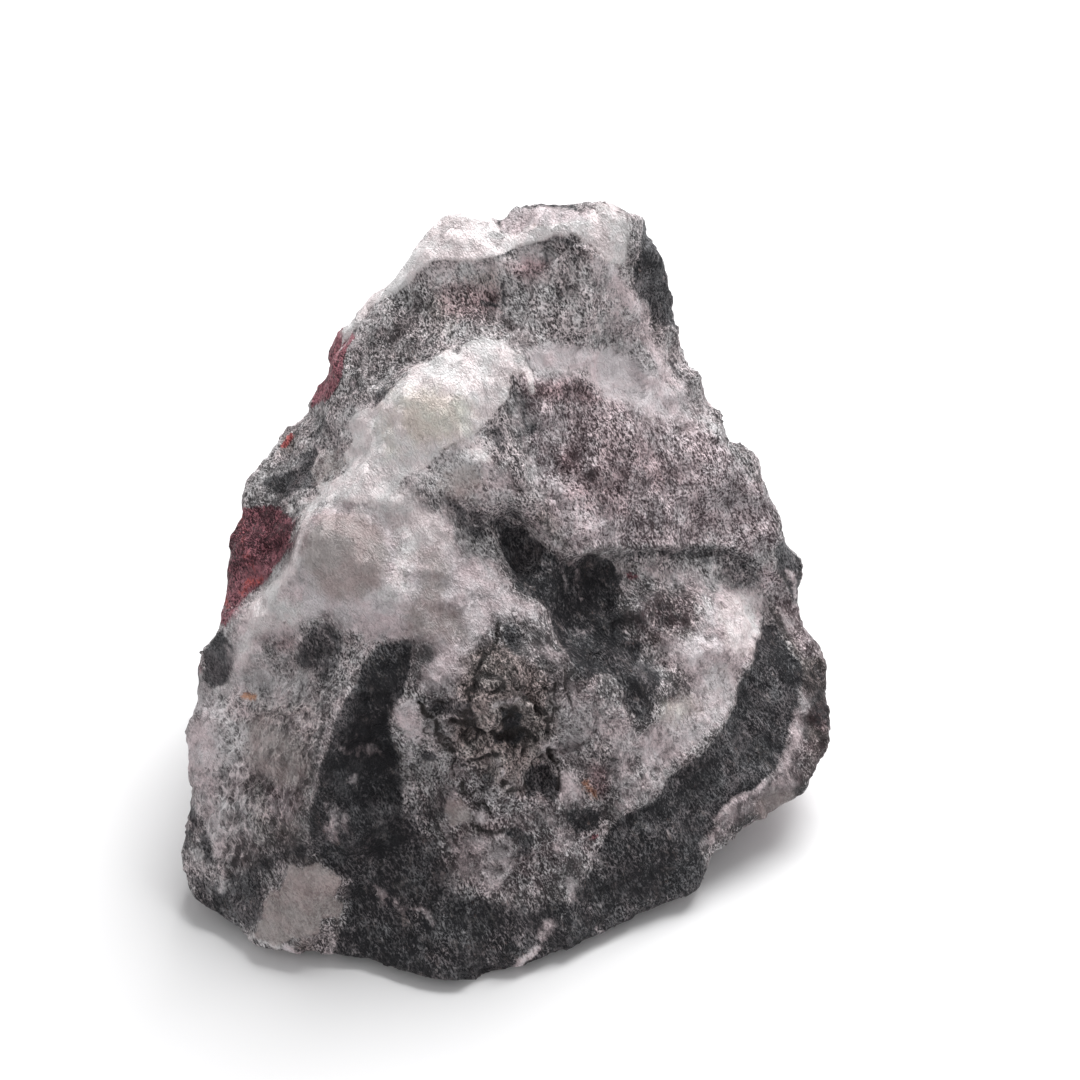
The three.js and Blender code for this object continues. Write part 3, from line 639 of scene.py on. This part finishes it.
# On the hidden sides each vein is (strength, softness in mm, half width in mm, path), the path in degrees
# round from the right-hand side and mm up the surface.
VEINS = {
    "quartz": [
        (0.95, 0.5, 2.7, [(142, 33), (126, 37), (104, 40), (97, 34)]),
        (0.85, 0.6, 1.5, [(97, 34), (92, 29), (86, 26)]),
        (0.85, 0.7, 2.2, [(86, 26), (82, 22), (76, 19), (72, 14)]),
        (0.8, 0.6, 1.3, [(72, 14), (66, 9), (62, 3)]),
        (0.85, 0.6, 1.6, [(182, 16), (172, 14), (160, 10), (148, 8), (134, 4)]),
        (0.72, 0.5, 0.7, [(76, 18), (84, 16), (88, 14), (98, 15), (106, 12), (115, 12)]),
        (0.7, 0.5, 0.5, [(98, 15), (104, 19), (112, 22)]),
        (0.7, 0.8, 1.6, [(40, 26), (36, 18), (28, 12)]),
    ],
    "pale": [
        (0.76, 1.5, 4.2, [(142, 33), (104, 38), (90, 28)]),
        (0.7, 1.5, 3.4, [(88, 26), (72, 15), (62, 3)]),
        (0.66, 1.5, 3.4, [(182, 16), (160, 10), (134, 4)]),
        (0.66, 1.0, 1.6, [(74, 18), (98, 15), (118, 11)]),
        (0.7, 1.2, 3.0, [(44, 32), (40, 24), (32, 14), (22, 9)]),
        (0.6, 1.2, 2.5, [(-30, 3), (-12, 3), (6, 2), (20, 2)]),
        (0.55, 1.0, 2.0, [(112, 30), (104, 24), (100, 22)]),
    ],
    "clear": [
        (0.8, 1.0, 2.2, [(84, 21), (78, 17)]),
        (0.7, 1.0, 2.0, [(168, 11), (158, 8)]),
        (0.6, 0.8, 1.6, [(118, 37), (108, 38)]),
    ],
    "pink": [
        (0.9, 1.5, 5.5, [(20, 24), (34, 21), (48, 16), (50, 8)]),
        (0.8, 1.5, 4.0, [(-20, 8), (-4, 6), (8, 4)]),
        (0.6, 2.0, 4.0, [(120, 26), (132, 20)]),
    ],
    "maroon": [
        (0.6, 1.2, 2.2, [(30, 22), (42, 18)]),
        (0.7, 0.8, 1.6, [(146, 28), (138, 30)]),
        (0.7, 0.8, 1.6, [(176, 20), (168, 19)]),
        (0.5, 1.2, 2.0, [(116, 26), (108, 22)]),
    ],
    "red": [
        (0.95, 0.5, 2.2, [(152, 27), (147, 30), (141, 33), (130, 31), (120, 28)]),
        (1.0, 0.5, 2.3, [(182, 20), (172, 20), (162, 18)]),
        (0.8, 0.8, 1.3, [(162, 18), (152, 14), (146, 12)]),
        (0.7, 0.6, 1.2, [(96, 31), (92, 26), (88, 23)]),
    ],
    "scarlet": [
        (0.6, 0.4, 0.5, [(180, 18), (170, 17), (164, 15)]),
        (0.6, 0.4, 0.4, [(136, 30), (126, 28)]),
    ],
    "dark": [
        (0.95, 0.8, 2.9, [(58, 38), (54, 34), (60, 28), (56, 23)]),
        (1.0, 1.0, 3.6, [(122, 22), (116, 16), (110, 10)]),
        (0.95, 0.8, 4.3, [(108, 10), (104, 7), (96, 2)]),
        (0.95, 0.8, 2.8, [(-4, 10), (8, 9), (22, 5), (34, 3)]),
        (0.8, 0.8, 3.0, [(186, 7), (170, 4), (156, 3)]),
        (0.7, 1.0, 2.5, [(80, 34), (74, 29), (70, 25)]),
        (0.8, 0.6, 1.4, [(146, 22), (140, 16), (132, 18)]),
    ],
    "brown": [
        (0.8, 2.0, 5.0, [(140, 24), (150, 18)]),
        (0.8, 2.0, 4.0, [(44, 10), (56, 22)]),
    ],
    "crumbly": [
        (0.9, 1.5, 4.0, [(136, 14), (128, 8)]),
        (0.6, 1.5, 3.5, [(52, 12), (46, 5)]),
    ],
    "streak": [
        (0.9, 2.0, 5.0, [(150, 24), (142, 14)]),
    ],
    "crack": [
        (0.8, 0.15, 0.1, [(88, 34), (80, 27), (84, 20), (76, 12)]),
        (0.8, 0.15, 0.1, [(128, 32), (120, 24), (128, 16), (122, 8)]),
        (0.7, 0.15, 0.1, [(40, 20), (52, 14), (64, 14)]),
    ],
    "sunk": [
        (0.5, 1.5, 2.0, [(60, 28), (56, 23)]),
        (0.6, 1.5, 2.5, [(118, 20), (108, 12)]),
        (0.4, 1.5, 2.0, [(150, 22), (140, 16)]),
    ],
}

KINDS = ["brown", "pink", "red", "scarlet", "maroon", "dark", "pale", "quartz", "clear", "honey", "ochre",
         "crack", "crumbly", "streak", "smooth", "sunk", "ridge", "painted_shade_and_dark_tone", "painted_light_and_pale_tone"]


def smoothstep(low, high, x):
    t = np.clip((x - low) / (high - low), 0, 1)
    return t * t * (3 - 2 * t)


def to_photo(points):
    """The photograph's pixels of points in mm."""
    sight = points - np.array(SHEET_CENTRE + TO_EYE * EYE_DISTANCE)
    scale = EYE_DISTANCE / -(sight @ np.array(TO_EYE)) / MM_PER_PX
    across, up = sight[:, 0] * scale, sight @ np.array(SHEET_UP) * scale
    return np.stack([PHOTO_CENTRE_PX + across, PHOTO_CENTRE_PX - up], 1)


def distance_to_path(points, path):
    """Each point's distance to a path of straight stretches, on the sheet or in space."""
    nearest = np.full(len(points), np.inf)
    for start, end in zip(path[:-1], path[1:]):
        start, stretch = np.array(start, float), np.subtract(end, start).astype(float)
        along = np.clip((points - start) @ stretch / max(stretch @ stretch, 1e-9), 0, 1)
        nearest = np.minimum(nearest, np.linalg.norm(points - start - along[:, None] * stretch, axis=1))
    return nearest


def inside(pixels, outline):
    """Whether each pixel lies in a closed outline."""
    x, y = pixels.T
    within = np.zeros(len(pixels), bool)
    for (ax, ay), (bx, by) in zip(outline, outline[1:] + outline[:1]):
        if ay != by:
            within ^= ((ay > y) != (by > y)) & (x < ax + (y - ay) * (bx - ax) / (by - ay))
    return within


def near(points, path, margin):
    """Which points lie in a path's box, grown by a margin."""
    low, high = np.min(path, 0) - margin, np.max(path, 0) + margin
    return ((points > low) & (points < high)).all(1)


def shade_in(strongest, chosen, depth, strength, softness):
    """Raises a marking's values where a shape lies: half strength at its edge, full at softness inside."""
    values = strength * smoothstep(-softness, softness, depth)
    strongest[chosen] = np.maximum(strongest[chosen], values)


def seen_marking(pixels, kind):
    """How strongly each pixel shows a kind of marking, 0 to 1."""
    strongest = np.zeros(len(pixels))
    for strength, softness, outline in OUTLINES.get(kind, []):
        chosen = near(pixels, outline, softness / MM_PER_PX)
        depth = distance_to_path(pixels[chosen], outline + outline[:1]) * MM_PER_PX
        depth = np.where(inside(pixels[chosen], outline), depth, -depth)
        shade_in(strongest, chosen, depth, strength, softness)
    for strength, softness, half_width, path in STROKES.get(kind, []):
        chosen = near(pixels, path, half_width + softness / MM_PER_PX)
        depth = (half_width - distance_to_path(pixels[chosen], path)) * MM_PER_PX
        shade_in(strongest, chosen, depth, strength, softness)
    return strongest


def on_surface(points, degrees, height):
    """The surface point nearest to a direction round the stone and a height in mm."""
    round_stone = np.arctan2(points[:, 1], points[:, 0]) - math.radians(degrees)
    sideways = np.abs((round_stone + math.pi) % (2 * math.pi) - math.pi) * 20
    return points[np.argmin(np.hypot(sideways, points[:, 2] - height))]


def hidden_marking(points, surface, kind):
    """How strongly each point shows a kind of vein, 0 to 1."""
    strongest = np.zeros(len(points))
    for strength, softness, half_width, path in VEINS.get(kind, []):
        path = [on_surface(surface, *place) for place in path]
        chosen = near(points, path, half_width + softness)
        depth = half_width - distance_to_path(points[chosen], path)
        shade_in(strongest, chosen, depth, strength, softness)
    return strongest


def markings(points, normals):
    """Every kind of marking at each point, 0 to 1."""
    moved = stirred(points, EDGE_MOVES)
    pixels = to_photo(moved)
    seen = smoothstep(-0.15, 0.05, normals @ np.array(TO_EYE))
    return {
        kind: np.maximum(seen_marking(pixels, kind) * seen, hidden_marking(moved, points, kind) * (1 - seen))
        for kind in KINDS
    }


# ---------------------------------------------------------------- the fine mesh

def fine_copy(node):
    """A smooth, evenly meshed copy of the CAD node."""
    piece = bpy.data.objects.new("stone", node.data.copy())
    bpy.context.scene.collection.objects.link(piece)
    remesh = piece.modifiers.new("remesh", "REMESH")
    remesh.mode = "VOXEL"
    remesh.voxel_size = VOXEL * MM
    for pull in SMOOTHING:
        piece.modifiers.new("smooth", "SMOOTH").factor = pull
    bpy.context.view_layer.update()
    evaluated = piece.evaluated_get(bpy.context.evaluated_depsgraph_get())
    mesh = bpy.data.meshes.new_from_object(evaluated)
    piece.modifiers.clear()
    piece.data = mesh
    return piece


def vertex_array(mesh, attribute="co"):
    values = np.empty(len(mesh.vertices) * 3, np.float32)
    mesh.vertices.foreach_get(attribute, values)
    return values.reshape(-1, 3).astype(float)


def noise_at(points, size, octaves=1):
    """Fractal noise of about -1 to 1, with lumps of size mm."""
    return np.array([noise.fractal(Vector(p), 1.0, 2.0, octaves) for p in points / size])


def stirred(points, moves):
    """points moved about by vector noise: each move is (size, reach) in mm."""
    shift = np.zeros_like(points)
    for size, reach in moves:
        shift += reach * np.array([noise.noise_vector(Vector(p)) for p in points / size])
    return points + shift


def broken(points, size):
    """Of the lumps of size mm that the rock breaks into: the distance to a seam in mm, and a tilted height."""
    seam, height = [], []
    for p in points / size:
        (nearest, second, *_), (middle, *_) = noise.voronoi(Vector(p))
        seam.append(second - nearest)
        height.append((Vector(p) - middle).dot(noise.cell_vector(middle * 7) - Vector((0.5, 0.5, 0.5))))
    return np.array(seam) * size, np.array(height)


def cracks(points, marks):
    """The crack lines: those drawn, and a patchy net over the crumbly ground."""
    torn = stirred(points, [(2.2, 0.5)])
    net = np.zeros(len(points))
    for size, width, gate in ((2.8, 0.30, 0.0), (1.5, 0.20, 0.15)):
        seam, _ = broken(torn, size)
        open_here = smoothstep(gate - 0.15, gate + 0.15, noise_at(points + size * 7, 2.2))
        net = np.maximum(net, smoothstep(width, width * 0.2, seam) * open_here)
    return np.maximum(marks["crack"], 0.8 * net * smoothstep(0.4, 0.9, marks["crumbly"]))


def relief(points, marks):
    """How far each point stands proud, in mm."""
    sugary = np.maximum(marks["quartz"], marks["clear"])
    rough = 1 - 0.5 * sugary - 0.25 * marks["dark"]
    height = 0.22 * noise_at(points, 3.6, 3)
    torn = stirred(points, [(2.0, 0.5)])
    for size, depth in FACETS:
        height += broken(torn, size)[1] * depth * rough * (0.4 + 1.2 * marks["crumbly"])
    height += 0.5 * marks["ridge"] - 1.1 * marks["sunk"]
    height += 0.06 * smoothstep(0.3, 0.9, marks["quartz"]) + 0.03 * marks["pale"] - 0.15 * marks["dark"]
    stripes = noise_at(points * (1, 1, 0.14), 0.55, 2)
    height += 0.14 * marks["streak"] * stripes
    height += 0.07 * noise_at(points, 0.75, 2) * rough
    height += 0.3 * broken(torn, 1.4)[1] * sugary * (1 - 0.5 * marks["clear"])
    height -= 0.3 * marks["crack"]
    return height * smoothstep(0.0, 0.8, points[:, 2])


def drawn_in(points):
    """points with the foot drawn in under the stone's lower edge, and the edge itself swollen a little."""
    above = points[:, 2]
    swell = 0.7 * smoothstep(0.2, 1.3, above) * smoothstep(6.0, 1.5, above)
    inwards = (0.5 + 0.4 * noise_at(points, 6)) * smoothstep(1.0, 0.1, above) - swell
    drawn = points.copy()
    drawn[:, :2] *= 1 - inwards[:, None] / FOOT_RADIUS
    return drawn


# ---------------------------------------------------------------- the material

class Graph:
    """Short ways to add a material's nodes. Sizes are in mm."""

    def __init__(self, material):
        material.use_nodes = True
        self.tree = material.node_tree
        self.place = self.tree.nodes.new("ShaderNodeTexCoord").outputs["Object"]

    def set(self, socket, value):
        if isinstance(value, bpy.types.NodeSocket):
            self.tree.links.new(value, socket)
        elif socket.type == "RGBA":
            socket.default_value = (*value, 1)
        else:
            socket.default_value = value

    def node(self, kind, settings=None, **inputs):
        node = self.tree.nodes.new("ShaderNode" + kind)
        for name, value in (settings or {}).items():
            setattr(node, name, value)
        for name, value in inputs.items():
            self.set(node.inputs[name.replace("_", " ")], value)
        return node

    def math(self, operation, a, b=0.0, c=0.0):
        node = self.node("Math", {"operation": operation})
        for socket, value in zip(node.inputs, (a, b, c)):
            self.set(socket, value)
        return node.outputs[0]

    def swing(self, base, value, reach):
        """base, moved up and down by a value of 0 to 1 round its middle."""
        return self.math("MULTIPLY_ADD", self.math("SUBTRACT", value, 0.5), reach, base)

    def step(self, low, high, value):
        node = self.node("MapRange", {"interpolation_type": "SMOOTHSTEP"}, Value=value)
        node.inputs["From Min"].default_value = low
        node.inputs["From Max"].default_value = high
        return node.outputs[0]

    def mix(self, share, a, b):
        node = self.node("Mix", {"data_type": "RGBA"})
        for socket, value in zip((node.inputs[0], node.inputs[6], node.inputs[7]), (share, a, b)):
            self.set(socket, value)
        return node.outputs[2]

    def blend(self, kind, a, b):
        node = self.node("Mix", {"data_type": "RGBA", "blend_type": kind})
        for socket, value in zip((node.inputs[0], node.inputs[6], node.inputs[7]), (1.0, a, b)):
            self.set(socket, value)
        return node.outputs[2]

    def moved(self, vector, by, reach):
        """A place moved by a colour's three numbers."""
        node = self.node("VectorMath", {"operation": "MULTIPLY_ADD"})
        for socket, value in zip(node.inputs, (by, (reach * MM,) * 3, vector)):
            self.set(socket, value)
        return node.outputs[0]

    def stretched(self, direction, times):
        """The place in space, with textures drawn out along a direction."""
        turn = direction.to_track_quat("Z", "Y").to_euler()
        return self.node("Mapping", {"vector_type": "TEXTURE"}, Vector=self.place, Rotation=turn,
                         Scale=(1, 1, times)).outputs[0]

    def noise(self, place, size, detail=2.0, roughness=0.5):
        return self.node("TexNoise", Vector=place, Scale=1 / (size * MM), Detail=detail,
                         Roughness=roughness).outputs

    def ridges(self, place, size, width):
        """1 on thin curly lines, where a noise crosses its middle, and 0 away from them."""
        level = self.noise(place, size, 1.0)["Fac"]
        return self.step(width, 0.0, self.math("ABSOLUTE", self.math("SUBTRACT", level, 0.5)))

    def facets(self, place, size):
        """The height in metres of the small flat faces, each with its own tilt, that a break leaves."""
        cells = self.node("TexVoronoi", Vector=place, Scale=1 / (size * MM)).outputs
        across, tilt = (
            self.node("VectorMath", {"operation": "SUBTRACT"}).inputs for _ in range(2)
        )
        self.set(across[0], place)
        self.set(across[1], cells["Position"])
        self.set(tilt[0], cells["Color"])
        tilt[1].default_value = (0.5, 0.5, 0.5)
        product = self.node("VectorMath", {"operation": "DOT_PRODUCT"})
        self.set(product.inputs[0], across[0].node.outputs[0])
        self.set(product.inputs[1], tilt[0].node.outputs[0])
        return product.outputs["Value"]

    def grains(self, place, size):
        """Three random numbers for each grain."""
        return self.parts(self.node("TexVoronoi", Vector=place, Scale=1 / (size * MM)).outputs["Color"])

    def parts(self, colour):
        return self.node("SeparateColor", Color=colour).outputs

    def attribute(self, name):
        return self.node("Attribute", {"attribute_name": name}).outputs["Fac"]


# Each kind of rock: the colours of its dark and light grains; how rare the light ones are (0.5 is even), how
# gradual the change between the two, and how much lighter it is where the marking is strong; and how it takes
# over from what is under it: softness, share of grain and share of mottling in the edge.
ROCKS = {
    "ground": ((0.060, 0.054, 0.056), (0.96, 0.90, 0.91), 0.95, 0.55, 0, None),
    "brown": ((0.055, 0.046, 0.044), (0.84, 0.72, 0.69), 0.97, 0.55, 0, (0.4, 0.15, 0.6)),
    "pink": ((0.075, 0.052, 0.058), (0.96, 0.85, 0.88), 0.95, 0.5, 0, (0.4, 0.15, 0.7)),
    "maroon": ((0.055, 0.028, 0.032), (0.84, 0.60, 0.63), 0.95, 0.5, 0, (0.5, 0.2, 0.4)),
    "dark": ((0.013, 0.013, 0.016), (0.26, 0.25, 0.26), 0.99, 0.6, -0.3, (0.2, 0.2, 0.8)),
    "red": ((0.045, 0.011, 0.018), (0.53, 0.21, 0.25), 0.89, 0.5, 0.3, (0.2, 0.3, 0.6)),
    "scarlet": ((0.16, 0.02, 0.025), (0.69, 0.17, 0.16), 0.81, 0.5, 0, (0.2, 0.36, 0.6)),
    "pale": ((0.33, 0.285, 0.295), (0.93, 0.84, 0.86), 0.58, 0.6, 0.7, (0.35, 0.12, 1.3)),
    "quartz": ((0.48, 0.42, 0.415), (0.98, 0.93, 0.93), 0.50, 0.6, 1.0, (0.25, 0.12, 0.9)),
    "clear": ((0.30, 0.25, 0.243), (0.60, 0.53, 0.52), 0.62, 0.6, 0, (0.4, 0.1, 0.9)),
    "honey": ((0.70, 0.65, 0.57), (0.96, 0.91, 0.82), 0.58, 0.6, 0, (0.45, 0.1, 0.6)),
    "ochre": ((0.15, 0.06, 0.04), (0.78, 0.43, 0.29), 0.75, 0.5, 0, (0.3, 0.36, 0.6)),
    "crack": ((0.012, 0.010, 0.010), (0.06, 0.052, 0.05), 0.60, 0.5, 0, (0.3, 0.1, 0.2)),
}


def rock_material():
    material = bpy.data.materials.new("cinnabar_quartz")
    g = Graph(material)
    fibres = g.stretched(FIBRES, 5)
    short = g.stretched(FIBRES, 1.7)
    clouds = g.parts(g.noise(g.place, 2.6, 3.0, 0.65)["Color"])
    mottling = g.noise(g.stretched(FIBRES, 1.4), 0.8, 4.0, 0.72)
    mottle, mottles = mottling["Fac"], g.parts(mottling["Color"])
    crystals = g.grains(g.moved(short, mottling["Color"], 0.5), 0.42)
    wisps = g.parts(g.noise(fibres, 0.5, 3.0, 0.7)["Color"])
    grain = g.grains(short, 0.14)
    long_place = g.node("Mapping", Vector=g.place, Scale=(1, 1, 0.14)).outputs[0]
    stripes = g.noise(long_place, 0.5, 3.0, 0.65)["Fac"]

    flecks = g.math("MAXIMUM", g.ridges(short, 0.34, 0.05), g.ridges(g.stretched(FIBRES, 4), 0.24, 0.05))
    fine = g.swing(g.math("MULTIPLY", flecks, 0.55), g.noise(short, 0.14, 1.0)["Fac"], 1.5)
    fine = g.swing(fine, grain[0], 0.35)
    gritty = g.math("MULTIPLY_ADD", g.step(0.36, 0.64, clouds[2]), 0.8, 0.5)
    pattern = g.math("MULTIPLY", fine, gritty)
    for value, reach in ((mottle, 0.8), (crystals[0], 0.25), (wisps[0], 0.6)):
        pattern = g.swing(pattern, value, reach)
    calm = g.math("MULTIPLY_ADD", g.attribute("smooth"), -0.55, 1.0)
    edge_calm = g.math("MULTIPLY_ADD", g.attribute("smooth"), -0.25, 1.0)
    lightness = g.swing(g.math("MULTIPLY_ADD", pattern, calm, 0.68), clouds[1], 0.9)
    # painted light and painted shade, partly the rock's own tone, lighten and darken the grains
    for name, reach in (("painted_light_and_pale_tone", 0.35), ("painted_shade_and_dark_tone", -0.35)):
        lightness = g.math("MULTIPLY_ADD", g.attribute(name), reach, lightness)
    stripes = g.math("MULTIPLY_ADD", g.ridges(long_place, 0.9, 0.04), 0.2, g.math("SUBTRACT", stripes, 0.5))
    lightness = g.math("MULTIPLY_ADD", g.math("MULTIPLY", g.attribute("streak"), stripes), 1.9, lightness)

    colour = None
    for number, (name, (under, over, rarity, spread, lift, edge)) in enumerate(ROCKS.items()):
        if edge is None:
            colour = g.mix(g.step(rarity - spread, rarity + spread, lightness), under, over)
            continue
        strength = g.attribute(name)
        lighter = g.math("MULTIPLY_ADD", g.math("SUBTRACT", strength, 0.75), lift, lightness)
        grained = g.mix(g.step(rarity - spread, rarity + spread, lighter), under, over)
        softness, grainy, mottled = edge
        wander = 0.0
        for value, reach in ((grain[1 + number % 2], grainy), (mottles[number % 3], mottled),
                             (wisps[(1 + number) % 3], mottled * 0.6), (crystals[1], mottled * 0.25)):
            wander = g.swing(wander, value, reach)
        covers = g.math("MULTIPLY_ADD", wander, edge_calm, strength)
        colour = g.mix(g.step(0.5 - softness, 0.5 + softness, covers), colour, grained)

    height = g.math("MULTIPLY_ADD", grain[2], 0.6, g.math("MULTIPLY_ADD", mottle, 1.5, fine))
    bumps = g.math("MULTIPLY_ADD", height, 0.08 * MM, g.facets(g.moved(short, mottling["Color"], 0.5), 0.85))
    tint = g.mix(g.step(0.35, 0.65, clouds[0]), (1.0, 0.935, 0.945), (0.955, 0.985, 0.99))
    colour = g.blend("MULTIPLY", colour, tint)
    shader = g.tree.nodes["Principled BSDF"]
    g.set(shader.inputs["Base Color"], colour)
    g.set(shader.inputs["Normal"], g.node("Bump", Strength=1.0, Distance=1.0, Height=bumps).outputs[0])
    g.set(shader.inputs["Roughness"], g.math("MULTIPLY_ADD", grain[1], 0.35, 0.42))
    shader.inputs["Specular IOR Level"].default_value = 0.3
    return material


def build_stone():
    noise.seed_set(SEED)
    stone = fine_copy(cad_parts[NODE])
    mesh = stone.data
    points = vertex_array(mesh) / MM
    normals = vertex_array(mesh, "normal")
    marks = markings(points, normals)
    marks["crack"] = cracks(points, marks)
    height = relief(points, marks)
    moved = drawn_in(points + normals * height[:, None])
    moved[:, 2] = np.maximum(moved[:, 2], 0)
    mesh.vertices.foreach_set("co", (moved * MM).astype(np.float32).ravel())
    mesh.update()
    marks = {**markings(moved, normals), "crack": marks["crack"]}
    for name, values in marks.items():
        attribute = mesh.attributes.new(name, "FLOAT", "POINT")
        attribute.data.foreach_set("value", values.astype(np.float32))
    mesh.shade_smooth()
    mesh.materials.clear()
    mesh.materials.append(rock_material())
    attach(stone, "root")
    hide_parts(NODE)


add_camera()
add_floor()
add_lights()
build_stone()
